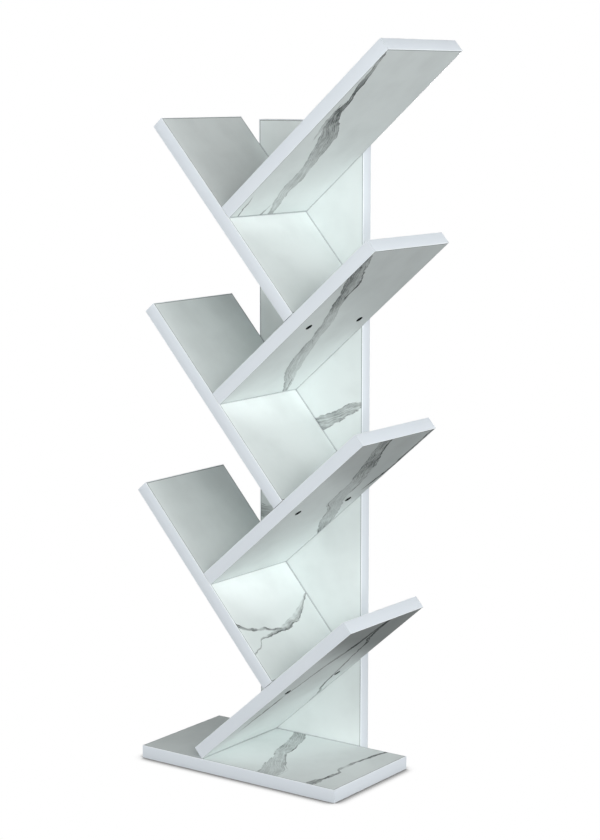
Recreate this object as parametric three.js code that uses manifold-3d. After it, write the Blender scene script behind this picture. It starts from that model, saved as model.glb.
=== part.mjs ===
import * as THREE from 'three';
import { mergeVertices } from 'three/addons/utils/BufferGeometryUtils.js';
import Module from 'manifold-3d';

const wasm = await Module();
wasm.setup();

// Tree shaped bookshelf, in millimetres, with +Z up and its front towards -Y.
// The origin is the middle of the base board's underside.

// Boards, all cut from one width of one melamine faced stock
const stockThick = 15;
const stripWidth = 144;
const shelfLength = 270;
const baseLength = 270;

// How the tree climbs: every board stands square on the middle of the one below
const tiltDegrees = 41;
const jointPastMiddle = 2;
const footLeft = 48;
const shelfCount = 7;
const panelRise = 16;

// Edge bands, with a rounded arris along each face
const bandThick = 1;
const arrisRadius = 0.8;
const arrisSteps = 2;

// Clearances between pieces that meet
const seatGap = 0.3;
const glueLine = 0.3;

// Countersunk chipboard screws with a cross recess
const shankDiameter = 4;
const headDiameter = 8;
const headRim = 0.4;
const tipLength = 4;
const recessSpan = 4.6;
const recessSlot = 1.1;
const recessDepth = 2.2;
const jointScrewLength = 40;
const panelScrewLength = 30;

// Screw holes
const screwClearance = 0.3;
const headSink = 0.4;
const pilotSpare = 1;
const jointScrewFromEdge = 24;
const panelScrewFromEnd = 36;
const panelScrewFromSide = 30;
const baseScrewFromSide = 24;
const holeSides = 12;
const cutOverrun = 1;

const tilt = THREE.MathUtils.degToRad(tiltDegrees);
const jointReach = shelfLength / 2 + jointPastMiddle;
const panelFront = stripWidth / 2 + seatGap;
const panelBack = panelFront + stockThick;
const panelScrewX = stripWidth / 2 - panelScrewFromSide;

const quarterTurn = Math.PI / 2;
const alongX = new THREE.Vector3(1, 0, 0);
const towardsFront = new THREE.Vector3(0, -1, 0);
const alongZ = new THREE.Vector3(0, 0, 1);

// White marble print on the faces of the boards
function marbleMelamine() {
  return new THREE.MeshStandardMaterial({ color: 0xe4e9e8, roughness: 0.38, metalness: 0, flatShading: true });
}

// Plain white plastic round the edges
function edgePlastic() {
  return new THREE.MeshStandardMaterial({ color: 0xe2e4ee, roughness: 0.5, metalness: 0, flatShading: true });
}

// Dark plated steel of the screws
function screwSteel() {
  return new THREE.MeshStandardMaterial({ color: 0x3a3c40, roughness: 0.45, metalness: 1, flatShading: true });
}

// Closed geometry as a solid that can be cut
function solidOf(geometry) {
  const bare = geometry.clone();
  bare.deleteAttribute('normal');
  bare.deleteAttribute('uv');
  const merged = mergeVertices(bare);
  const corners = [];
  for (let i = 0; i < merged.index.count; i += 3) {
    const a = merged.index.getX(i);
    const b = merged.index.getX(i + 1);
    const c = merged.index.getX(i + 2);
    if (a !== b && b !== c && c !== a) {
      corners.push(a, b, c);
    }
  }
  return new wasm.Manifold(new wasm.Mesh({
    numProp: 3,
    vertProperties: Float32Array.from(merged.attributes.position.array),
    triVerts: Uint32Array.from(corners),
  }));
}

function geometryOf(solid) {
  const mesh = solid.getMesh();
  const geometry = new THREE.BufferGeometry();
  geometry.setAttribute('position', new THREE.BufferAttribute(mesh.vertProperties, 3));
  geometry.setIndex(new THREE.BufferAttribute(mesh.triVerts, 1));
  geometry.computeVertexNormals();
  return geometry;
}

function addMesh(group, name, solid, material) {
  const mesh = new THREE.Mesh(geometryOf(solid), material);
  mesh.name = name;
  group.add(mesh);
  return mesh;
}

// Round solid about Z from a profile of [radius, height] pairs
function turned(profile) {
  const points = profile.map(([radius, height]) => new THREE.Vector2(radius, height));
  return new THREE.LatheGeometry(points, holeSides).rotateX(quarterTurn);
}

function facing(direction) {
  return new THREE.Quaternion().setFromUnitVectors(alongZ, direction);
}

function sunkAt(geometry, point, direction) {
  return solidOf(geometry.applyQuaternion(facing(direction)).translate(point.x, point.y, point.z));
}

// Through hole with its countersink, entering the board at point
function screwHole(point, direction) {
  const shank = shankDiameter / 2 + screwClearance;
  const head = headDiameter / 2 + screwClearance;
  const rimEnd = headSink + headRim + screwClearance;
  const profile = [
    [0, -cutOverrun],
    [head, -cutOverrun],
    [head, rimEnd],
    [shank, rimEnd + head - shank],
    [shank, stockThick + cutOverrun],
    [0, stockThick + cutOverrun],
  ];
  return sunkAt(turned(profile), point, direction);
}

// Blind hole that takes the rest of a screw, entering the next board at point
function pilotHole(point, direction, screwLength) {
  const shank = shankDiameter / 2 + screwClearance;
  const depth = headSink + screwLength - stockThick - seatGap + pilotSpare;
  const profile = [
    [0, -cutOverrun],
    [shank, -cutOverrun],
    [shank, depth - shank],
    [0, depth],
  ];
  return sunkAt(turned(profile), point, direction);
}

// Cross recess, drawn in to a point like the driver's tip
function crossRecess() {
  const slot = new THREE.BoxGeometry(recessSpan, recessSlot, 2 * recessDepth);
  const acrossSlot = new THREE.BoxGeometry(recessSlot, recessSpan, 2 * recessDepth);
  const mouth = recessSpan / 2;
  const flare = mouth * (1 + cutOverrun / recessDepth);
  const taper = turned([[0, -cutOverrun], [flare, -cutOverrun], [0, recessDepth]]);
  return solidOf(slot).add(solidOf(acrossSlot)).intersect(solidOf(taper));
}

// Countersunk screw with its head at the origin, pointing along +Z
function screwSolid(screwLength) {
  const shank = shankDiameter / 2;
  const head = headDiameter / 2;
  const profile = [
    [0, 0],
    [head, 0],
    [head, headRim],
    [shank, headRim + head - shank],
    [shank, screwLength - tipLength],
    [0, screwLength],
  ];
  return solidOf(turned(profile)).subtract(crossRecess());
}

function addScrew(group, name, screwLength, point, direction) {
  const screw = addMesh(group, name, screwSolid(screwLength), screwSteel());
  screw.quaternion.copy(facing(direction));
  screw.position.copy(point).addScaledVector(direction, headSink);
}

// Slab from x = 0 to its length, centred on y and z, with rounded arrises
function roundedSlab(length) {
  const outline = new THREE.Shape();
  const halfWidth = stripWidth / 2 - arrisRadius;
  outline.moveTo(arrisRadius, -halfWidth);
  outline.lineTo(length - arrisRadius, -halfWidth);
  outline.lineTo(length - arrisRadius, halfWidth);
  outline.lineTo(arrisRadius, halfWidth);
  outline.closePath();
  const slab = new THREE.ExtrudeGeometry(outline, {
    depth: stockThick - 2 * arrisRadius,
    bevelThickness: arrisRadius,
    bevelSize: arrisRadius,
    bevelSegments: arrisSteps,
  });
  return solidOf(slab.translate(0, 0, arrisRadius - stockThick / 2));
}

function squareSlab(length, inset, thick) {
  const slab = new THREE.BoxGeometry(length - 2 * inset, stripWidth - 2 * inset, thick);
  return solidOf(slab.translate(length / 2, 0, 0));
}

// One board: a core with the marble print, and the plastic band round its edges
function addBoard(group, name, length, holes) {
  let core = squareSlab(length, bandThick + glueLine, stockThick);
  let band = roundedSlab(length).subtract(squareSlab(length, bandThick, stockThick + cutOverrun));
  for (const hole of holes) {
    core = core.subtract(hole);
    band = band.subtract(hole);
  }
  addMesh(group, `${name}_board`, core, marbleMelamine());
  addMesh(group, `${name}_edge_band`, band, edgePlastic());
}

const tree = new THREE.Group();
const panelScrews = [];

// Where a panel screw meets a board's rear edge, told from the board's lower end
function addPanelScrew(group, name, reach, holes) {
  holes.push(pilotHole(new THREE.Vector3(reach, stripWidth / 2, 0), towardsFront, panelScrewLength));
  addScrew(group, name, panelScrewLength, new THREE.Vector3(reach, panelBack, 0), towardsFront);
  panelScrews.push(group.localToWorld(new THREE.Vector3(reach, panelBack, 0)));
}

function frontAndRear(jointX, jointZ) {
  const jointY = stripWidth / 2 - jointScrewFromEdge;
  return {
    front: new THREE.Vector3(jointX, -jointY, jointZ),
    rear: new THREE.Vector3(jointX, jointY, jointZ),
  };
}

// One sloping board in its own group: x runs up its length, and upSide is the
// side of z that looks upwards, 1 on the right hand boards and -1 on the left
function addShelf(group, name, upSide, standsOnShelf, carriesShelf) {
  group.updateWorldMatrix(true, false);
  const holes = [];
  if (standsOnShelf) {
    for (const point of Object.values(frontAndRear(0, 0))) {
      holes.push(pilotHole(point, alongX, jointScrewLength));
    }
  }
  if (carriesShelf) {
    const direction = alongZ.clone().multiplyScalar(upSide);
    const heads = frontAndRear(jointReach, -upSide * stockThick / 2);
    for (const [place, point] of Object.entries(heads)) {
      holes.push(screwHole(point, direction));
      addScrew(group, `${name}_joint_screw_${place}`, jointScrewLength, point, direction);
    }
  }
  const lowEnd = group.localToWorld(new THREE.Vector3());
  const run = group.localToWorld(alongX.clone()).x - lowEnd.x;
  const entering = (-upSide * panelScrewX - lowEnd.x) / run;
  const leaving = (upSide * panelScrewX - lowEnd.x) / run;
  addPanelScrew(group, `${name}_panel_screw_lower`, Math.max(panelScrewFromEnd, entering), holes);
  addPanelScrew(group, `${name}_panel_screw_upper`, leaving, holes);
  addBoard(group, name, shelfLength, holes);
}

function addBase() {
  const group = new THREE.Group();
  group.position.set(-baseLength / 2, 0, stockThick / 2);
  tree.add(group);
  group.updateWorldMatrix(true, false);
  const holes = [];
  const fromMiddle = stripWidth / 2 - baseScrewFromSide;
  addPanelScrew(group, 'base_panel_screw_left', baseLength / 2 - fromMiddle, holes);
  addPanelScrew(group, 'base_panel_screw_right', baseLength / 2 + fromMiddle, holes);
  addBoard(group, 'base', baseLength, holes);
}

// The chain of shelves: each group is turned square to the one it stands on
function addShelves() {
  let group = new THREE.Group();
  group.rotation.y = -tilt;
  const footLift = new THREE.Vector3(0, 0, stockThick / 2).applyEuler(group.rotation);
  group.position.set(-footLeft, 0, stockThick + seatGap).add(footLift);
  tree.add(group);
  let upSide = 1;
  for (let i = 0; i < shelfCount; i += 1) {
    const side = upSide > 0 ? 'right' : 'left';
    const level = Math.floor(i / 2) + 1;
    addShelf(group, `${side}_${level}`, upSide, i > 0, i < shelfCount - 1);
    if (i < shelfCount - 1) {
      const next = new THREE.Group();
      next.position.set(jointReach, 0, upSide * (stockThick / 2 + seatGap));
      next.rotation.y = -upSide * quarterTurn;
      group.add(next);
      group = next;
      upSide = -upSide;
    }
  }
  return group;
}

// The panel stands behind all the boards, and its top clears the top shelf
function addPanel(topShelf) {
  const run = new THREE.Vector3(0, 0, stockThick / 2);
  const topFace = topShelf.localToWorld(run);
  const panelHeight = topFace.z + (stripWidth / 2 - topFace.x) * Math.tan(tilt) + panelRise;
  const group = new THREE.Group();
  group.position.set(0, panelFront + stockThick / 2, 0);
  const turn = new THREE.Matrix4().makeBasis(alongZ, alongX, towardsFront.clone().negate());
  group.quaternion.setFromRotationMatrix(turn);
  tree.add(group);
  group.updateWorldMatrix(true, false);
  const inwards = alongZ.clone().negate();
  const holes = panelScrews.map((head) => screwHole(group.worldToLocal(head.clone()), inwards));
  addBoard(group, 'back', panelHeight, holes);
}

addBase();
const topShelf = addShelves();
addPanel(topShelf);

export default tree;
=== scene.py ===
import math
import bpy
import bmesh
from mathutils import Matrix, Vector


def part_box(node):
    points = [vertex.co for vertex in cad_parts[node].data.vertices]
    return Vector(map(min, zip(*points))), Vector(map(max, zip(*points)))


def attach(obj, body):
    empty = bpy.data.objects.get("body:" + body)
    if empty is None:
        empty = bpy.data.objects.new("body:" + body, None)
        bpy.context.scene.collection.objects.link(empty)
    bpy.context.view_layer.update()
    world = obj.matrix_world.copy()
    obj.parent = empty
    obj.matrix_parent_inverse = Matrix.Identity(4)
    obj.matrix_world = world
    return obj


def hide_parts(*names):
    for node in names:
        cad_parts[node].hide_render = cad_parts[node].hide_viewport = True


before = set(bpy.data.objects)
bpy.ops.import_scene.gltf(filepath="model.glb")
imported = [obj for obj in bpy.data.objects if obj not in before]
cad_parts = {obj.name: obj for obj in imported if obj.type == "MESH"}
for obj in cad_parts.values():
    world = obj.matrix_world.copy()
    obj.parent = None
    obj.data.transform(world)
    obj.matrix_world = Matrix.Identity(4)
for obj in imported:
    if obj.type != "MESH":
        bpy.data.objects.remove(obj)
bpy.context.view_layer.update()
print("frame loaded:", len(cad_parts), "nodes")

mm = 0.001

# board stock, as drawn in the frame
board = {
    "thick": 15 * mm,
    "depth": 144 * mm,
    "tilt": 41,  # degrees between a right hand board and the floor
    "coreInset": 1.3 * mm,  # edge band and glue line
}

rightBoards = ["right_1", "right_2", "right_3", "right_4"]
leftBoards = ["left_1", "left_2", "left_3"]
allBoards = ["base", "back"] + rightBoards + leftBoards


def fromHex(code):
    channels = [int(code[i:i + 2], 16) / 255 for i in (0, 2, 4)]
    linear = [c / 12.92 if c <= 0.04045 else ((c + 0.055) / 1.055) ** 2.4 for c in channels]
    return linear + [1]


def addNode(tree, kind, settings, links):
    node = tree.nodes.new(kind)
    for name, value in settings.items():
        setattr(node, name, value)
    for name, value in links.items():
        if isinstance(value, bpy.types.NodeSocket):
            tree.links.new(value, node.inputs[name])
        else:
            node.inputs[name].default_value = value
    return node


# inputs 0, 6 and 7 of a colour mix are its factor and its two colours, output 2 is the mixed colour
def mixColours(tree, factor, first, second):
    links = {0: factor, 6: first, 7: second}
    return addNode(tree, "ShaderNodeMix", {"data_type": "RGBA"}, links).outputs[2]


def newMaterial(name):
    material = bpy.data.materials.new(name)
    material.use_nodes = True
    tree = material.node_tree
    tree.nodes.clear()
    output = tree.nodes.new("ShaderNodeOutputMaterial")
    return material, tree, output


def addPiece(name, shape, material, replaced):
    mesh = bpy.data.meshes.new(name)
    shape.to_mesh(mesh)
    shape.free()
    piece = bpy.data.objects.new(name, mesh)
    bpy.context.scene.collection.objects.link(piece)
    mesh.materials.append(material)
    for polygon in mesh.polygons:
        polygon.use_smooth = True
    mesh.set_sharp_from_angle(angle=math.radians(35))
    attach(piece, "root")
    if replaced:
        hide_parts(replaced)


# the board's own axes: x up its length, y from its front edge to its rear, z through its thickness
def boardPlace(name):
    low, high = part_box(f"{name}_board")
    tilt = math.radians(board["tilt"])
    inset = board["coreInset"]
    if name == "base":
        turn = Matrix.Identity(3)
        corner = Vector((low.x - inset, low.y - inset, low.z))
    elif name == "back":
        turn = Matrix(((0, 1, 0), (0, 0, 1), (1, 0, 0)))
        corner = Vector((low.x - inset, low.y, low.z - inset))
    elif name in rightBoards:
        turn = Matrix.Rotation(-tilt, 3, "Y")
        corner = Vector((low.x + board["thick"] * math.sin(tilt), low.y - inset, low.z))
        corner -= turn @ Vector((inset, 0, 0))
    else:
        turn = Matrix.Rotation(-tilt - math.pi / 2, 3, "Y")
        corner = Vector((high.x, low.y - inset, low.z + board["thick"] * math.sin(tilt)))
        corner -= turn @ Vector((inset, 0, 0))
    return corner, turn


def boardLength(name):
    low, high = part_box(f"{name}_board")
    if name == "base":
        return high.x - low.x + 2 * board["coreInset"]
    if name == "back":
        return high.z - low.z + 2 * board["coreInset"]
    tilt = math.radians(board["tilt"])
    rise = high.z - low.z
    flat = board["thick"] * (math.cos(tilt) if name in rightBoards else math.sin(tilt))
    slope = math.sin(tilt) if name in rightBoards else math.cos(tilt)
    return (rise - flat) / slope + 2 * board["coreInset"]


marble = {
    "paper": "E5ECEB",
    "ink": "1C2423",
    # the chipboard colours are near black: painted shade of the screw holes and the gap behind the edging
    "chipboard": "2E2923",
    "chip": "1C1915",
    "fringe": 60,  # millimetres by which a vein's middle may leave the face
    "widest": 120,  # millimetres, the largest half width
    "clouds": 0.035,
    "cloudWide": 60,  # millimetres
    "cloudSpan": (0.45, 0.72),
    "darkest": 0.92,  # the most that veins, print clouds and painted shade take from the paper's light
    "contrast": 2.2,
    "seamDarkWide": 0.6,  # millimetres
    "seamDarkLeast": 0.66,
    "faceDeep": 0.15,  # millimetres below which the raw chipboard shows
    "flakeWide": 1.5,  # millimetres
    "flakeDark": 0.5,
    "grainWide": 1.2,  # millimetres
    "rough": (0.56, 0.66),
}

# the strokes of a vein, lengths in millimetres
# a span is the noise or the distance that it runs over, then the tone at either end
brush = {
    "swing": 2.4,  # how far a vein wanders
    "swingWide": 17,
    "raggedWide": 3.4,
    "raggedShare": 0.16,
    "strokeLong": 26,
    "strokeWide": 1.5,
    "strokeLean": 0.12,
    "apart": 7.0,  # between two veins' strokes, in their noise
    "blotWide": 9,
    "thinnest": 1.0,
    "tornMost": 5.0,  # the half width from which an edge tears no further
    "tornByStroke": 1.5,
    "tornByBlot": 0.5,
    "tornWhenSoft": 0.5,
    "insideSpan": (-0.7, 0.4, 1.0, 0.0),
    "streakAt": 0.56,
    "streakSpan": (0.0, 0.035, 1.4, 1.0),
    "strokeSpan": (0.36, 0.62, 0.5, 1.25),
    "blotSpan": (0.35, 0.65, 0.8, 1.2),
    "rimIn": 0.9,
    "rimSpan": (0.2, 1.2, 1.0, 0.0),
    "rimBlotSpan": (0.42, 0.62, 0.05, 0.5),
    "fadeSpan": (-1.0, 0.9, 1.25),  # in half widths from the middle, its end is one of the two below
    "fadeLeast": 0.6,
    "softLeast": 0.3,
    "shadeCloudSpan": (-30, 30, 1.0, 0.0),
}

# painted shade in the joints, on boards and edging: darker where ambient occlusion finds a surface close by
joint = {
    "reach": 1.3 * mm,
    "closed": 0.5,  # openness at which the painted shade is full
    "open": 0.85,  # openness at which there is none
    "soil": 0.83,
    "dirt": "4A4C4E",
}

# a vein, or a cloud of painted shade over a board's outer end, runs along the board's length or its depth
# a fading or soft one lightens across, and a soft one has a less torn edge
# its rows are millimetres along, its middle across, half its width, and how dark it is from 0 to 1
veins = {
    "right_4": {
        "under": [
            ("length", [
                (0, 73, 5.5, 0.2), (20, 67.5, 7, 0.15), (40, 61, 9, 0.13), (60, 61, 10.5, 0.17),
                (80, 58.5, 8.5, 0.14), (100, 53.5, 10.5, 0.2), (120, 47.5, 13.5, 0.23),
                (136, 42, 16.5, 0.28), (150, 32, 13.5, 0.34), (162, 23, 8, 0.4),
                (175, 19.5, 7, 0.46), (186, 19.5, 5, 0.5), (198, 16, 2.6, 0.58), (215, 12, 4, 0.36),
                (235, 8.5, 3.6, 0.25), (250, 5, 3, 0.24), (262, 1, 2, 0.34), (270, -4, 1, 0.36)]),
            ("length", [
                (0, 8, 0.2, 0), (120, 24, 0.4, 0), (134, 20, 2, 0.1), (150, 16, 3.2, 0.13),
                (166, 13, 2.6, 0.22), (180, 11, 1.2, 0.18), (190, 10, 0.3, 0), (270, 8, 0.2, 0)]),
            ("length", [
                (0, 14.5, 0.8, 0.44), (15, 12, 0.9, 0.3), (30, 9, 1.2, 0.13), (40, 7, 0.5, 0),
                (270, 7, 0.2, 0)]),
            ("length", [
                (0, 55, 1.6, 0.44), (8, 56, 1.5, 0.17), (16, 57.5, 1, 0.08), (24, 58, 0.3, 0),
                (270, 58, 0.2, 0)]),
        ],
        "upper": [
            ("length fading", [
                (0, 30, 4, 0.2), (60, 44, 9, 0.14), (120, 70, 13, 0.13), (180, 92, 8, 0.19),
                (270, 120, 4, 0.28)]),
            ("length", [(0, 96, 1, 0.2), (90, 104, 1.4, 0.22), (160, 126, 1, 0.14), (270, 160, 1, 0)]),
        ],
    },
    "right_3": {
        "under": [
            ("length fading soft", [
                (0, 120, 4, 0.2), (20, 107, 8, 0.17), (40, 92, 12, 0.18), (60, 80, 14, 0.16),
                (80, 72, 12, 0.15), (100, 67, 10.5, 0.16), (112, 62, 8, 0.13), (130, 58, 10, 0.16),
                (150, 50, 10, 0.16), (170, 38, 8.5, 0.27), (190, 31, 10, 0.34), (205, 25, 13, 0.33),
                (220, 17, 14.5, 0.32), (240, 8, 10.5, 0.38), (256, 1, 7, 0.46), (270, -8, 2, 0.46)]),
            ("length", [
                (0, 121, 0.9, 0.32), (20, 111, 1, 0.25), (36, 102, 0.8, 0.26), (50, 95, 0.4, 0),
                (270, 90, 0.2, 0)]),
            ("length", [
                (0, 100, 0.2, 0), (26, 96, 0.6, 0.02), (38, 84, 0.8, 0.13), (60, 67, 0.7, 0.14),
                (80, 60, 0.8, 0.22), (104, 55, 0.9, 0.06), (116, 54, 0.4, 0), (270, 50, 0.2, 0)]),
            ("length", [
                (0, 40, 0.2, 0), (168, 42, 0.4, 0), (180, 39, 1.4, 0.2), (198, 38.5, 1.6, 0.58),
                (212, 37, 1.8, 0.5), (224, 29, 1.8, 0.42), (238, 17, 1.6, 0.32), (250, 6, 1.4, 0.28),
                (260, -2, 1, 0.3), (270, -8, 1, 0)]),
            ("length", [
                (0, 100, 0.2, 0), (96, 74, 0.3, 0), (101, 68, 1.4, 0.18), (107, 61, 1.2, 0.16),
                (113, 56, 0.3, 0), (270, 50, 0.2, 0)]),
            # painted shade: a soft dark patch over the outer end of the underside
            ("depth painted shade cloud", [(0, 281, 80, 0.07), (144, 206, 80, 0.07)]),
        ],
        "upper": [
            ("length fading", [
                (0, 110, 5, 0.2), (70, 96, 12, 0.13), (150, 58, 10, 0.16), (210, 40, 5, 0.26),
                (270, 12, 3, 0.3)]),
        ],
    },
    "right_2": {
        "under": [
            ("length", [
                (0, 190, 4, 0), (55, 150, 4, 0.26), (70, 139, 7, 0.26), (90, 127, 13, 0.155),
                (110, 116, 14, 0.14), (128, 104, 15, 0.11), (138, 94, 16, 0.12), (150, 91, 15.5, 0.13),
                (165, 89, 14.5, 0.13), (180, 88, 13, 0.19), (200, 79, 13.5, 0.28), (220, 70, 13.5, 0.38),
                (240, 59, 11.5, 0.34), (256, 51, 10, 0.33), (270, 46, 11, 0.36)]),
            ("length", [
                (0, 170, 0.2, 0), (56, 148, 0.8, 0.24), (64, 141, 1.2, 0.5), (78, 128, 1, 0.04),
                (92, 115, 1, 0.16), (106, 106, 1.1, 0.19), (120, 100, 1, 0.26), (130, 92, 1.1, 0.24),
                (138, 82, 1.4, 0.29), (148, 77, 1.2, 0.21), (170, 76, 0.9, 0.2), (190, 74, 0.8, 0.1),
                (270, 40, 0.4, 0)]),
            ("length", [
                (0, 106, 0.3, 0), (150, 107, 0.6, 0), (168, 104, 1.2, 0.33), (190, 98, 1.7, 0.15),
                (210, 90, 1.8, 0.26), (228, 80, 2, 0.5), (245, 67, 1.9, 0.58), (258, 60, 1.8, 0.5),
                (270, 57, 2, 0.54)]),
            ("length", [
                (0, 128, 0.3, 0), (150, 128, 1, 0), (162, 131, 2, 0.6), (176, 137, 3, 0.62),
                (205, 140, 2.2, 0.46), (270, 140, 1.8, 0.6)]),
            # painted shade: a soft dark patch over the outer end of the underside
            ("depth painted shade cloud", [(0, 300, 80, 0.15), (144, 225, 80, 0.15)]),
        ],
        "upper": [
            ("length fading", [
                (0, 20, 3, 0.26), (60, 34, 8, 0.17), (140, 64, 14, 0.13), (200, 96, 9, 0.17),
                (270, 138, 5, 0.24)]),
        ],
    },
    "right_1": {
        "under": [
            ("length", [
                (0, 16, 0.3, 0), (50, 18, 2, 0.02), (75, 21, 2.6, 0.25), (110, 26, 3, 0.36),
                (125, 28, 2.2, 0.13), (150, 36, 2.8, 0.25), (180, 45, 3, 0.24), (205, 58, 4.6, 0.42),
                (220, 65, 5.4, 0.86), (235, 68, 5, 0.92), (250, 71, 4.4, 0.9), (270, 76, 5, 0.96)]),
            ("length", [
                (0, 150, 0.3, 0), (85, 138, 2.2, 0.17), (105, 123, 2.6, 0.33), (130, 115, 1.9, 0.46),
                (155, 109, 2.4, 0.25), (180, 100, 1.8, 0.38), (200, 96, 2.6, 0.66), (217, 91, 2.8, 0.74),
                (230, 81, 3.4, 0.9), (250, 78, 4.2, 0.94), (270, 75, 5, 0.96)]),
            # painted shade: a soft dark patch over the outer end of the underside
            ("depth painted shade cloud", [(0, 314, 80, 0.34), (144, 251, 80, 0.34)]),
        ],
        "upper": [
            ("length fading", [
                (0, 120, 8, 0.15), (80, 100, 12, 0.13), (150, 66, 8, 0.17), (200, 60, 4, 0.26),
                (270, 30, 3, 0.3)]),
        ],
    },
    "left_1": {
        "upper": [
            ("depth soft", [
                (0, 35, 0.9, 0.26), (17, 42, 1, 0.32), (26, 50, 1.2, 0.36), (35, 51, 1.5, 0.36),
                (48, 52, 2, 0.28), (60, 53.5, 3.2, 0.27), (75, 55.5, 4.2, 0.3), (90, 58.5, 5, 0.26),
                (105, 63, 4.6, 0.22), (118, 70, 3.2, 0.2), (130, 78, 2, 0.28), (144, 87, 1.4, 0.34)]),
            ("depth", [
                (0, 74, 2.2, 0.34), (8, 69, 2.1, 0.31), (20, 64, 1.6, 0.24), (38, 61, 1.3, 0.26),
                (52, 57, 1.5, 0.38), (66, 55, 1.3, 0.32), (74, 55, 0.6, 0), (144, 55, 0.3, 0)]),
        ],
        "under": [
            ("length fading", [
                (0, 34, 5, 0.2), (80, 50, 12, 0.13), (150, 74, 15, 0.13), (210, 108, 8, 0.18),
                (270, 132, 4, 0.28)]),
        ],
    },
    "left_2": {
        "upper": [],
        "under": [
            ("length fading", [
                (0, 118, 4, 0.24), (60, 104, 9, 0.15), (130, 76, 15, 0.13), (200, 42, 9, 0.17),
                (270, 26, 4, 0.28)]),
            ("length", [(0, 60, 1, 0.2), (110, 40, 1.2, 0.2), (190, 20, 1, 0.2), (270, 6, 1, 0.14)]),
        ],
    },
    "left_3": {
        "upper": [],
        "under": [
            ("length fading", [
                (0, 60, 6, 0.18), (70, 76, 14, 0.13), (140, 84, 9, 0.17), (200, 110, 6, 0.24),
                (270, 128, 4, 0.28)]),
        ],
    },
    "base": {
        "upper": [
            ("depth", [
                (0, 180, 14, 0.13), (20, 173, 14, 0.12), (40, 162, 11, 0.15), (60, 153, 8, 0.15),
                (75, 146, 9, 0.14), (90, 142, 9.5, 0.21), (110, 136, 9, 0.13), (125, 131, 10, 0.2),
                (144, 121, 9, 0.28)]),
            ("depth", [
                (0, 235, 4.8, 0.3), (16, 237, 4.2, 0.26), (24, 238.5, 1.9, 0.43), (40, 240, 2.2, 0.4),
                (52, 241, 2.2, 0.34), (58, 236.5, 1.8, 0.17), (75, 235, 2.2, 0.11), (95, 235.5, 2, 0.36),
                (110, 238, 2, 0.38), (125, 240, 2, 0.5), (144, 243, 1.7, 0.36)]),
            ("depth", [
                (0, 192, 0.9, 0.2), (24, 188, 1.1, 0.03), (40, 175, 1.4, 0.18), (55, 164, 1.1, 0.18),
                (70, 155, 1.1, 0.19), (85, 152, 1, 0.46), (100, 148, 0.8, 0.42), (120, 143, 0.5, 0),
                (144, 140, 0.3, 0)]),
        ],
        "under": [
            ("length fading", [
                (0, 40, 5, 0.2), (90, 56, 12, 0.13), (170, 92, 10, 0.15), (270, 124, 4, 0.28)]),
        ],
    },
    "back": {
        "upper": [
            ("depth fading", [(0, 60, 5, 0.2), (60, 96, 12, 0.14), (100, 140, 9, 0.17), (144, 170, 4, 0.28)]),
            ("depth fading", [
                (0, 330, 4, 0.24), (50, 366, 13, 0.13), (100, 392, 10, 0.17), (144, 452, 5, 0.26)]),
            ("depth fading", [(0, 600, 8, 0.17), (70, 560, 13, 0.13), (144, 510, 5, 0.24)]),
        ],
        "under": [
            ("depth", [
                (0, 276, 7, 0.25), (13, 278, 6, 0.12), (24, 282, 4, 0.04), (34, 288, 2, 0),
                (70, 378, 3, 0.1), (80, 384, 9, 0.28), (95, 391, 8.5, 0.22), (110, 398, 7.5, 0.24),
                (125, 406, 6.5, 0.21), (137, 412, 4.5, 0.21), (144, 415, 3, 0.25)]),
        ],
    },
}


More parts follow.
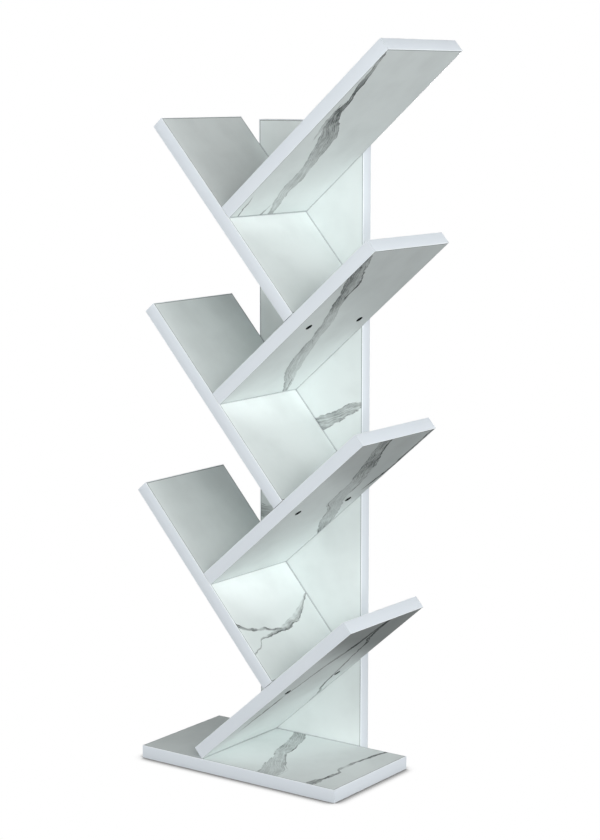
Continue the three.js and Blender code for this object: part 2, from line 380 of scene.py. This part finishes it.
# melamine faced chipboard: printed paper under clear resin, so the marble lies smooth in the face
# it has almost no gloss, because a gloss ray meets the white background and would wash the print out
def marbleMelamine(name):
    material, tree, output = newMaterial(f"marble_melamine_{name}")
    corner, turn = boardPlace(name)
    length = boardLength(name) / mm
    depth = board["depth"] / mm
    thick = board["thick"] / mm

    def sums(operation, a, b=0.0, c=0.0):
        return addNode(tree, "ShaderNodeMath", {"operation": operation}, {0: a, 1: b, 2: c}).outputs[0]

    def ramp(value, low, high, atLow, atHigh, smooth=False):
        kind = "SMOOTHSTEP" if smooth else "LINEAR"
        return addNode(tree, "ShaderNodeMapRange", {"interpolation_type": kind}, {
            "Value": value, "From Min": low, "From Max": high, "To Min": atLow, "To Max": atHigh}).outputs[0]

    def noise(vector, scale, detail, roughness):
        return addNode(tree, "ShaderNodeTexNoise", {}, {
            "Vector": vector, "Scale": scale, "Detail": detail, "Roughness": roughness})

    coordinates = addNode(tree, "ShaderNodeTexCoord", {}, {})
    place = addNode(tree, "ShaderNodeMapping", {"vector_type": "TEXTURE"}, {
        "Vector": coordinates.outputs["Object"], "Location": corner, "Rotation": turn.to_euler(),
        "Scale": (mm, mm, mm)})
    here = place.outputs["Vector"]
    flat = addNode(tree, "ShaderNodeSeparateXYZ", {}, {"Vector": here})

    # the print wanders in broad swings and in ragged ones of under a millimetre
    swing = noise(here, 1 / brush["swingWide"], detail=2.0, roughness=0.5).outputs["Color"]
    ragged = noise(here, 1 / brush["raggedWide"], detail=3.0, roughness=0.6).outputs["Color"]
    swung = mixColours(tree, brush["raggedShare"], swing, ragged)
    far = brush["swing"]
    shift = addNode(tree, "ShaderNodeVectorMath", {"operation": "MULTIPLY_ADD"}, {
        0: swung, 1: (4 * far, 4 * far, 0.0), 2: (-2 * far, -2 * far, 0.0)})
    wandered = addNode(tree, "ShaderNodeVectorMath", {"operation": "ADD"}, {
        0: here, 1: shift.outputs["Vector"]})
    axes = addNode(tree, "ShaderNodeSeparateXYZ", {}, {"Vector": wandered.outputs["Vector"]})

    # each vein is a band of brush strokes whose middle, width and darkness follow curves drawn in millimetres
    def veinTone(index, run, rows):
        fading, soft = "fading" in run, "soft" in run
        span, width = (length, depth) if "length" in run else (depth, length)
        along, across = ("X", "Y") if "length" in run else ("Y", "X")
        room = width + 2 * marble["fringe"]
        curves = addNode(tree, "ShaderNodeRGBCurve", {}, {"Color": sums("DIVIDE", axes.outputs[along], span)})
        for channel in range(3):
            curve = curves.mapping.curves[channel]
            for number, (at, centre, half, darkness) in enumerate(rows):
                reading = ((centre + marble["fringe"]) / room, half / marble["widest"], darkness)[channel]
                spot = (at / span, min(max(reading, 0), 1))
                if number in (0, len(rows) - 1):
                    curve.points[0 if number == 0 else -1].location = spot
                else:
                    curve.points.new(*spot)
            for point in curve.points:
                point.handle_type = "AUTO_CLAMPED"
        curves.mapping.update()
        drawn = addNode(tree, "ShaderNodeSeparateColor", {}, {"Color": curves.outputs["Color"]})
        middle = sums("MULTIPLY_ADD", drawn.outputs["Red"], room, -marble["fringe"])
        halfWidth = sums("MULTIPLY", drawn.outputs["Green"], marble["widest"])
        off = sums("SUBTRACT", axes.outputs[across], middle)
        outside = sums("SUBTRACT", sums("ABSOLUTE", off), halfWidth)
        # a cloud run is painted shade: a soft dark patch with no strokes
        if "cloud" in run:
            shadeCloudReach = ramp(outside, *brush["shadeCloudSpan"], smooth=True)
            return sums("MULTIPLY", shadeCloudReach, drawn.outputs["Blue"])
        leaning = sums("MULTIPLY_ADD", axes.outputs[along], brush["strokeLean"], off)
        path = addNode(tree, "ShaderNodeCombineXYZ", {}, {
            "X": sums("DIVIDE", axes.outputs[along], brush["strokeLong"]),
            "Y": sums("DIVIDE", leaning, brush["strokeWide"]), "Z": brush["apart"] * index})
        strokes = noise(path.outputs["Vector"], 1.0, detail=3.0, roughness=0.6).outputs["Fac"]
        blotScale = 1 / brush["blotWide"]
        blots = noise(wandered.outputs["Vector"], blotScale, detail=2.0, roughness=0.5).outputs["Fac"]
        byStroke = sums("MULTIPLY_ADD", strokes, brush["tornByStroke"], -brush["tornByStroke"] / 2)
        byBlot = sums("MULTIPLY_ADD", blots, brush["tornByBlot"], -brush["tornByBlot"] / 2)
        reach = sums("MINIMUM", halfWidth, brush["tornMost"])
        reach = sums("MULTIPLY", reach, brush["tornWhenSoft"] if soft else 1.0)
        torn = sums("MULTIPLY", sums("ADD", byStroke, byBlot), reach)
        beyond = sums("SUBTRACT", outside, torn)
        inside = ramp(beyond, *brush["insideSpan"], smooth=True)
        fromStreak = sums("ABSOLUTE", sums("SUBTRACT", strokes, brush["streakAt"]))
        streaks = ramp(fromStreak, *brush["streakSpan"])
        brushed = sums("MULTIPLY", ramp(strokes, *brush["strokeSpan"]), ramp(blots, *brush["blotSpan"]))
        brushed = sums("MULTIPLY", brushed, streaks)
        fromRim = sums("ABSOLUTE", sums("ADD", beyond, brush["rimIn"]))
        edge = ramp(fromRim, *brush["rimSpan"], smooth=True)
        rim = sums("MULTIPLY", edge, ramp(blots, *brush["rimBlotSpan"]))
        if fading or soft:
            least = brush["fadeLeast"] if fading else brush["softLeast"]
            sideways = sums("DIVIDE", off, sums("MAXIMUM", halfWidth, brush["thinnest"]))
            faded = ramp(sideways, *brush["fadeSpan"], least, smooth=True)
            brushed = sums("MULTIPLY", brushed, faded)
            if soft:
                rim = sums("MULTIPLY", rim, faded)
        tone = sums("ADD", sums("MULTIPLY", inside, brushed), rim)
        return sums("MULTIPLY", tone, drawn.outputs["Blue"])

    low = sums("LESS_THAN", flat.outputs["Z"], thick / 2)
    high = sums("GREATER_THAN", flat.outputs["Z"], thick / 2)
    faces = {"upper": low, "under": high} if name in leftBoards else {"under": low, "upper": high}
    dark = None
    index = 0
    for side, drawnVeins in veins[name].items():
        for run, rows in drawnVeins:
            index += 1
            tone = sums("MULTIPLY", veinTone(index, run, rows), faces[side])
            dark = tone if dark is None else sums("MAXIMUM", dark, tone)

    # faint clouds in the white
    cloudy = noise(here, 1 / marble["cloudWide"], detail=3.0, roughness=0.55).outputs["Fac"]
    cloud = ramp(cloudy, *marble["cloudSpan"], 0.0, marble["clouds"])
    light = sums("SUBTRACT", 1.0, sums("MINIMUM", sums("ADD", dark, cloud), marble["darkest"]))

    # beside the edging the face darkens in a thin line, and the joints get painted shade
    fromEnd = sums("MINIMUM", flat.outputs["X"], sums("SUBTRACT", length, flat.outputs["X"]))
    fromSide = sums("MINIMUM", flat.outputs["Y"], sums("SUBTRACT", depth, flat.outputs["Y"]))
    fromEdging = sums("SUBTRACT", sums("MINIMUM", fromEnd, fromSide), board["coreInset"] / mm)
    seamDarkening = ramp(fromEdging, 0.0, marble["seamDarkWide"], marble["seamDarkLeast"], 1.0)
    # painted shade in the joints: darker where ambient occlusion finds a surface within reach
    nearby = addNode(tree, "ShaderNodeAmbientOcclusion", {"samples": 8}, {"Distance": joint["reach"]})
    soiled = ramp(nearby.outputs["AO"], joint["closed"], joint["open"], joint["soil"], 1.0)
    lit = sums("MULTIPLY", light, sums("MULTIPLY", seamDarkening, soiled))
    shade = sums("POWER", lit, marble["contrast"])
    printed = mixColours(tree, shade, fromHex(marble["ink"]), fromHex(marble["paper"]))

    # raw chipboard shows only in the screw holes and behind the edging, coloured near black as painted shade
    # of the holes
    flakes = addNode(tree, "ShaderNodeTexVoronoi", {}, {"Vector": here, "Scale": 1 / marble["flakeWide"]})
    flaky = sums("MULTIPLY", flakes.outputs["Distance"], marble["flakeDark"])
    raw = mixColours(tree, flaky, fromHex(marble["chipboard"]), fromHex(marble["chip"]))
    deep = sums("SUBTRACT", thick / 2, sums("ABSOLUTE", sums("SUBTRACT", flat.outputs["Z"], thick / 2)))
    surface = mixColours(tree, sums("GREATER_THAN", deep, marble["faceDeep"]), printed, raw)

    grain = noise(here, 1 / marble["grainWide"], detail=2.0, roughness=0.5).outputs["Fac"]
    bump = addNode(tree, "ShaderNodeBump", {}, {"Height": grain, "Strength": 0.06, "Distance": 0.1 * mm})
    shader = addNode(tree, "ShaderNodeBsdfPrincipled", {}, {
        "Base Color": surface, "Roughness": ramp(grain, 0.0, 1.0, *marble["rough"]),
        "Normal": bump.outputs["Normal"], "IOR": 1.45, "Specular IOR Level": 0.04})
    tree.links.new(shader.outputs["BSDF"], output.inputs["Surface"])
    return material


for name in allBoards:
    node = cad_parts[f"{name}_board"]
    node.data.materials.clear()
    node.data.materials.append(marbleMelamine(name))
print("boards faced:", len(allBoards))

edging = {
    "face": "E0E7EC",
    "faceShade": "DAE1E8",
    # the arris colour is whiter both as scraped PVC and as a painted highlight
    "arris": "F2F7FA",
    # the glue's near black colours are painted shade of the hairline gap
    "glue": "34312C",
    "glueDust": "54504A",
    "thick": 1 * mm,
    "round": 0.5 * mm,
    "roundSteps": 3,
    "seam": 0.1 * mm,
    "seat": 0.2 * mm,  # the pressed joint stays open by this much more than the frame's gap
    "glueWidth": 0.3 * mm,
    "glueSink": 0.15 * mm,
    "toneWide": 60 * mm,
    "grainWide": 0.8 * mm,
    "dustWide": 4 * mm,
    "near": 1e-7,  # metres, what is no further apart counts as touching
}


# PVC edging: a pale satin face with a trace of blue, whiter on its rounded arris both as scraped PVC and as a
# painted highlight
def edgingPlastic():
    material, tree, output = newMaterial("pvc_edging")
    here = addNode(tree, "ShaderNodeTexCoord", {}, {}).outputs["Object"]
    tone = addNode(tree, "ShaderNodeTexNoise", {}, {
        "Vector": here, "Scale": 1 / edging["toneWide"], "Detail": 2.0, "Roughness": 0.5})
    grain = addNode(tree, "ShaderNodeTexNoise", {}, {
        "Vector": here, "Scale": 1 / edging["grainWide"], "Detail": 2.0, "Roughness": 0.6})
    face = mixColours(tree, tone.outputs["Fac"], fromHex(edging["face"]), fromHex(edging["faceShade"]))
    scrapedAndHighlit = addNode(tree, "ShaderNodeAttribute", {"attribute_name": "arris"}, {})
    colour = mixColours(tree, scrapedAndHighlit.outputs["Fac"], face, fromHex(edging["arris"]))
    # painted shade in the joints: the colour darkens where ambient occlusion finds a surface within reach
    nearby = addNode(tree, "ShaderNodeAmbientOcclusion", {"samples": 8}, {"Distance": joint["reach"]})
    soil = addNode(tree, "ShaderNodeMapRange", {}, {
        "Value": nearby.outputs["AO"], "From Min": joint["closed"], "From Max": joint["open"],
        "To Min": 1 - joint["soil"], "To Max": 0.0})
    soiled = mixColours(tree, soil.outputs[0], colour, fromHex(joint["dirt"]))
    rough = addNode(tree, "ShaderNodeMapRange", {}, {
        "Value": grain.outputs["Fac"], "To Min": 0.45, "To Max": 0.6})
    bump = addNode(tree, "ShaderNodeBump", {}, {
        "Height": grain.outputs["Fac"], "Strength": 0.08, "Distance": 0.1 * mm})
    shader = addNode(tree, "ShaderNodeBsdfPrincipled", {}, {
        "Base Color": soiled, "Roughness": rough.outputs[0], "Normal": bump.outputs["Normal"],
        "IOR": 1.45, "Specular IOR Level": 0.4})
    tree.links.new(shader.outputs["BSDF"], output.inputs["Surface"])
    return material


# hot melt glue in the hairline between edging and board, dull and near black: its darkness is painted shade
# of the gap
def hotMeltGapShade():
    material, tree, output = newMaterial("hot_melt_glue_gap_shade")
    here = addNode(tree, "ShaderNodeTexCoord", {}, {}).outputs["Object"]
    dust = addNode(tree, "ShaderNodeTexNoise", {}, {
        "Vector": here, "Scale": 1 / edging["dustWide"], "Detail": 2.0})
    colour = mixColours(tree, dust.outputs["Fac"], fromHex(edging["glue"]), fromHex(edging["glueDust"]))
    shader = addNode(tree, "ShaderNodeBsdfPrincipled", {}, {"Base Color": colour, "Roughness": 0.7})
    tree.links.new(shader.outputs["BSDF"], output.inputs["Surface"])
    return material


def addBlock(shape, low, high):
    made = bmesh.ops.create_cube(shape, size=1)["verts"]
    bmesh.ops.scale(shape, verts=made, vec=[high[i] - low[i] for i in range(3)])
    bmesh.ops.translate(shape, verts=made, vec=[(high[i] + low[i]) / 2 for i in range(3)])
    return made


# one strip of edging, its two outer arrises rounded
def addStrip(shape, low, high, axis, outer):
    made = addBlock(shape, low, high)
    near = edging["near"]
    arrises = [edge for edge in shape.edges
               if all(vert in made and abs(vert.co[axis] - outer) < near for vert in edge.verts)
               and abs(edge.verts[0].co.z - edge.verts[1].co.z) < near]
    rounded = bmesh.ops.bevel(
        shape, geom=arrises, affect="EDGES", offset=edging["round"], segments=edging["roundSteps"],
        profile=0.5, material=-1)
    # the rounded faces are marked for the whiter arris colour, partly a painted highlight
    scrapedAndHighlit = shape.faces.layers.float["arris"]
    for face in rounded["faces"]:
        face[scrapedAndHighlit] = 1


def addEdging(name, plastic, glue):
    corner, turn = boardPlace(name)
    length, depth, thick = boardLength(name), board["depth"], board["thick"]
    strip, seam, sink = edging["thick"], edging["seam"], edging["glueSink"]
    seat = 0 if name == "base" else edging["seat"]
    rear = depth if name in ("base", "back") else depth - seat
    inner = strip + edging["glueWidth"]
    place = Matrix.Translation(corner) @ turn.to_4x4()
    shape = bmesh.new()
    shape.faces.layers.float.new("arris")
    addStrip(shape, (seat, 0, 0), (length, strip, thick), 1, 0)
    addStrip(shape, (seat, depth - strip, 0), (length, rear, thick), 1, rear)
    addStrip(shape, (seat, strip + seam, 0), (strip, depth - strip - seam, thick), 0, seat)
    addStrip(shape, (length - strip, strip + seam, 0), (length, depth - strip - seam, thick), 0, length)
    bmesh.ops.transform(shape, matrix=place, verts=shape.verts)
    addPiece(f"{name}_edging", shape, plastic, f"{name}_edge_band")
    # the glue line is near black, painted shade of the gap between edging and board
    line = bmesh.new()
    addBlock(line, (strip, strip, sink), (length - strip, inner, thick - sink))
    addBlock(line, (strip, depth - inner, sink), (length - strip, depth - strip, thick - sink))
    addBlock(line, (strip, inner, sink), (inner, depth - inner, thick - sink))
    addBlock(line, (length - inner, inner, sink), (length - strip, depth - inner, thick - sink))
    bmesh.ops.transform(line, matrix=place, verts=line.verts)
    addPiece(f"{name}_glue_line", line, glue, None)


plastic = edgingPlastic()
glue = hotMeltGapShade()
for name in allBoards:
    addEdging(name, plastic, glue)
print("edges banded:", len(allBoards))

screw = {
    "black": "08090A",
    "worn": "17191B",
    "head": 4 * mm,
    "lift": 0.6 * mm,  # a joint screw's head stands this much higher than the frame's, just proud
    "rim": 0.4 * mm,
    "shank": 2 * mm,
    "core": 1.5 * mm,
    "tip": 4 * mm,
    "pitch": 1.8 * mm,
    "smooth": 12 * mm,
    "sides": 32,
    "cross": 4.6 * mm,
    "slot": 1.1 * mm,
    "crossDeep": 2 * mm,
    "crossTaper": 0.45,
    "turnApart": 2.4,  # radians between the crosses of one screw and the next
    "runIn": 1 * mm,  # from the smooth shank down to the core
    "point": 0.2 * mm,
    "threadStart": 0.6 * mm,
    "threadSunk": 0.1 * mm,
    "threadShy": 0.02 * mm,
    "threadHalf": 0.45 * mm,
    "turnSteps": 14,
    "wornWide": 1.2 * mm,
}


# black phosphated steel: dark and dull, a little paler where the driver has rubbed it
def blackSteel():
    material, tree, output = newMaterial("black_phosphated_steel")
    here = addNode(tree, "ShaderNodeTexCoord", {}, {}).outputs["Object"]
    grime = addNode(tree, "ShaderNodeTexNoise", {}, {
        "Vector": here, "Scale": 1 / screw["wornWide"], "Detail": 3.0})
    colour = mixColours(tree, grime.outputs["Fac"], fromHex(screw["black"]), fromHex(screw["worn"]))
    rough = addNode(tree, "ShaderNodeMapRange", {}, {
        "Value": grime.outputs["Fac"], "To Min": 0.65, "To Max": 0.85})
    shader = addNode(tree, "ShaderNodeBsdfPrincipled", {}, {
        "Base Color": colour, "Roughness": rough.outputs[0], "Specular IOR Level": 0.03})
    tree.links.new(shader.outputs["BSDF"], output.inputs["Surface"])
    return material


# a countersunk chipboard screw, the face of its head at the origin and its point down -Z
def screwShape(length):
    shape = bmesh.new()
    made = bmesh.ops.create_grid(shape, x_segments=3, y_segments=3, size=screw["cross"] / 2)["verts"]
    for vert in made:
        for axis in (0, 1):
            if abs(vert.co[axis]) < screw["cross"] / 4:
                vert.co[axis] = math.copysign(screw["slot"] / 2, vert.co[axis])
    corners = [face for face in shape.faces
               if min(abs(c) for c in face.calc_center_median()[:2]) > screw["slot"] / 2]
    bmesh.ops.delete(shape, geom=corners, context="FACES")
    mouth = list(shape.verts)
    sunk = bmesh.ops.extrude_face_region(shape, geom=list(shape.faces))["geom"]
    floor = [item for item in sunk if isinstance(item, bmesh.types.BMVert)]
    lids = [face for face in shape.faces if all(vert in mouth for vert in face.verts)]
    bmesh.ops.delete(shape, geom=lids, context="FACES_ONLY")
    bmesh.ops.scale(shape, verts=floor, vec=(screw["crossTaper"], screw["crossTaper"], 1))
    bmesh.ops.translate(shape, verts=floor, vec=(0, 0, -screw["crossDeep"]))
    rimRound = screw["rim"] / 3
    radius = screw["head"] - rimRound
    circle = bmesh.ops.create_circle(shape, cap_ends=False, segments=screw["sides"], radius=radius)["verts"]
    ring = [edge for edge in shape.edges if all(vert in circle for vert in edge.verts)]
    opening = [edge for edge in shape.edges
               if len(edge.link_faces) == 1 and all(vert in mouth for vert in edge.verts)]
    bmesh.ops.triangle_fill(shape, use_beauty=True, use_dissolve=False, edges=ring + opening)
    cone = screw["rim"] + screw["head"] - screw["shank"]
    steps = [(screw["head"], -rimRound), (screw["head"], -screw["rim"]), (screw["shank"], -cone),
             (screw["shank"], -screw["smooth"]), (screw["core"], -screw["smooth"] - screw["runIn"]),
             (screw["core"], -length + screw["tip"]), (screw["point"], -length)]
    level = 0
    for wide, deep in steps:
        grown = bmesh.ops.extrude_edge_only(shape, edges=ring)["geom"]
        verts = [item for item in grown if isinstance(item, bmesh.types.BMVert)]
        ring = [item for item in grown
                if isinstance(item, bmesh.types.BMEdge) and all(vert in verts for vert in item.verts)]
        bmesh.ops.scale(shape, verts=verts, vec=(wide / radius, wide / radius, 1))
        bmesh.ops.translate(shape, verts=verts, vec=(0, 0, deep - level))
        radius, level = wide, deep
    bmesh.ops.edgeloop_fill(shape, edges=ring)
    return shape


# a ridge of three sides wound round the core
def addThread(shape, length):
    turns = (length - screw["smooth"] - screw["tip"]) / screw["pitch"]
    start = -screw["smooth"] - screw["threadStart"]
    foot, crest = screw["core"] - screw["threadSunk"], screw["shank"] - screw["threadShy"]
    half = screw["threadHalf"]
    profile = bmesh.ops.create_circle(shape, cap_ends=True, segments=3, radius=1)["verts"]
    for vert, (x, z) in zip(profile, [(foot, start + half), (foot, start - half), (crest, start)]):
        vert.co = (x, 0, z)
    rest = [item for item in list(shape.edges) + list(shape.faces)
            if all(vert in profile for vert in item.verts)]
    bmesh.ops.spin(
        shape, geom=profile + rest, cent=(0, 0, 0), axis=(0, 0, 1),
        dvec=(0, 0, -screw["pitch"] / screw["turnSteps"]), angle=2 * math.pi * turns,
        steps=int(turns * screw["turnSteps"]), use_merge=False, use_duplicate=False)


def addScrew(number, name, steel):
    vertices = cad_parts[name].data.vertices
    tilt = math.radians(board["tilt"])
    if "panel" in name:
        inward = Vector((0, -1, 0))
    elif name.startswith("right"):
        inward = Vector((-math.sin(tilt), 0, math.cos(tilt)))
    else:
        inward = Vector((math.cos(tilt), 0, math.sin(tilt)))
    across = Vector((0, 0, 1)) if "panel" in name else Vector((0, 1, 0))
    third = inward.cross(across)
    spread = [[vert.co.dot(line) for vert in vertices] for line in (inward, across, third)]
    lift = screw["lift"] if "joint" in name else 0
    length = max(spread[0]) - min(spread[0]) + lift
    head = inward * (min(spread[0]) - lift)
    head += across * (min(spread[1]) + max(spread[1])) / 2 + third * (min(spread[2]) + max(spread[2])) / 2
    shape = screwShape(length)
    addThread(shape, length)
    bmesh.ops.recalc_face_normals(shape, faces=shape.faces)
    turn = Matrix((across, third, -inward)).transposed()
    turn = turn @ Matrix.Rotation(screw["turnApart"] * number, 3, "Z")
    bmesh.ops.transform(shape, matrix=Matrix.Translation(head) @ turn.to_4x4(), verts=shape.verts)
    addPiece(f"{name}_fine", shape, steel, name)


steel = blackSteel()
screwNames = [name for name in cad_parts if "screw" in name]
for number, name in enumerate(screwNames):
    addScrew(number, name, steel)
print("screws made:", len(screwNames))

studio = {
    "floorSize": 8,  # metres
    "floorShade": "5C5E60",
    # the floor's painted contact shadow: its reach, its darkest seen white, and the occlusion span over which
    # it fades
    "contact": 15 * mm,
    "contactDark": 0.15,
    "contactSpan": (0.42, 0.98),
    "air": 0.03,
    # name, place and size in metres, power in watts
    "lamps": [
        ("key", (2.0, -1.9, 1.6), 1.6, 44.8),
        ("right", (2.7, -0.6, 1.45), 0.9, 12.5),
        ("low_right", (2.9, -0.1, 0.42), 0.7, 25),
        ("rear_right", (2.3, 1.5, 1.6), 1.2, 11),
        ("low_front", (0.9, -2.7, 0.2), 0.6, 19.2),
        ("low_left", (-1.2, -2.6, 0.35), 0.9, 12.4),
        ("fill", (-1.6, -2.2, 1.0), 1.6, 17.5),
        ("low_rear", (-0.9, 2.9, 0.12), 0.24, 60),
        ("low_far_left", (-2.9, 0.9, 0.08), 0.3, 13),
    ],
    "lampAim": (0, 0, 0.42),
}


# 1 for a ray that comes from the camera, a gloss or a clear piece
def seenRay(tree):
    rays = addNode(tree, "ShaderNodeLightPath", {}, {})
    seen = rays.outputs["Is Camera Ray"]
    for kind in ("Is Glossy Ray", "Is Transmission Ray"):
        links = {0: seen, 1: rays.outputs[kind]}
        seen = addNode(tree, "ShaderNodeMath", {"operation": "MAXIMUM"}, links).outputs[0]
    return seen


# a painted floor, seen white but for a painted contact shadow round the base, where ambient occlusion finds
# the base close by
def studioFloor():
    shape = bmesh.new()
    bmesh.ops.create_grid(shape, x_segments=8, y_segments=8, size=studio["floorSize"] / 2)
    mesh = bpy.data.meshes.new("studio_floor")
    shape.to_mesh(mesh)
    shape.free()
    floor = bpy.data.objects.new("studio_floor", mesh)
    bpy.context.scene.collection.objects.link(floor)
    material, tree, output = newMaterial("painted_floor")
    nearby = addNode(tree, "ShaderNodeAmbientOcclusion", {"samples": 16}, {"Distance": studio["contact"]})
    contactLow, contactHigh = studio["contactSpan"]
    white = addNode(tree, "ShaderNodeMapRange", {"interpolation_type": "SMOOTHSTEP"}, {
        "Value": nearby.outputs["AO"], "From Min": contactLow, "From Max": contactHigh,
        "To Min": studio["contactDark"], "To Max": 1.0})
    backdrop = addNode(tree, "ShaderNodeEmission", {}, {"Color": (1, 1, 1, 1), "Strength": white.outputs[0]})
    paint = addNode(tree, "ShaderNodeBsdfDiffuse", {}, {"Color": fromHex(studio["floorShade"])})
    mixed = addNode(tree, "ShaderNodeMixShader", {}, {
        0: seenRay(tree), 1: paint.outputs[0], 2: backdrop.outputs[0]})
    tree.links.new(mixed.outputs[0], output.inputs["Surface"])
    mesh.materials.append(material)


def studioWorld():
    world = bpy.data.worlds.new("studio_air")
    bpy.context.scene.world = world
    world.use_nodes = True
    tree = world.node_tree
    tree.nodes.clear()
    output = tree.nodes.new("ShaderNodeOutputWorld")
    strength = addNode(tree, "ShaderNodeMapRange", {}, {
        "Value": seenRay(tree), "To Min": studio["air"], "To Max": 1.0})
    sky = addNode(tree, "ShaderNodeBackground", {}, {"Color": (1, 1, 1, 1), "Strength": strength.outputs[0]})
    tree.links.new(sky.outputs[0], output.inputs["Surface"])


def softLamp(name, place, size, power):
    lamp = bpy.data.lights.new(name, "AREA")
    lamp.size = size
    lamp.energy = power
    holder = bpy.data.objects.new(name, lamp)
    bpy.context.scene.collection.objects.link(holder)
    holder.location = place
    holder.rotation_euler = (Vector(studio["lampAim"]) - Vector(place)).to_track_quat("-Z", "Y").to_euler()


studioFloor()
studioWorld()
for name, place, size, power in studio["lamps"]:
    softLamp(name, place, size, power)
print("studio set")

# camera, at the photograph's viewpoint
view = {
    "place": (1380.6 * mm, -1865.6 * mm, 769.1 * mm),
    "azimuth": 35.75,
    "elevation": 9.055,
    "lens": 90,
}
camera = bpy.data.objects.new("camera", bpy.data.cameras.new("camera"))
bpy.context.scene.collection.objects.link(camera)
camera.location = view["place"]
camera.rotation_euler = (math.radians(90 - view["elevation"]), 0, math.radians(view["azimuth"]))
camera.data.lens = view["lens"]
bpy.context.scene.camera = camera
bpy.context.scene.view_settings.view_transform = "Standard"
print("camera set")
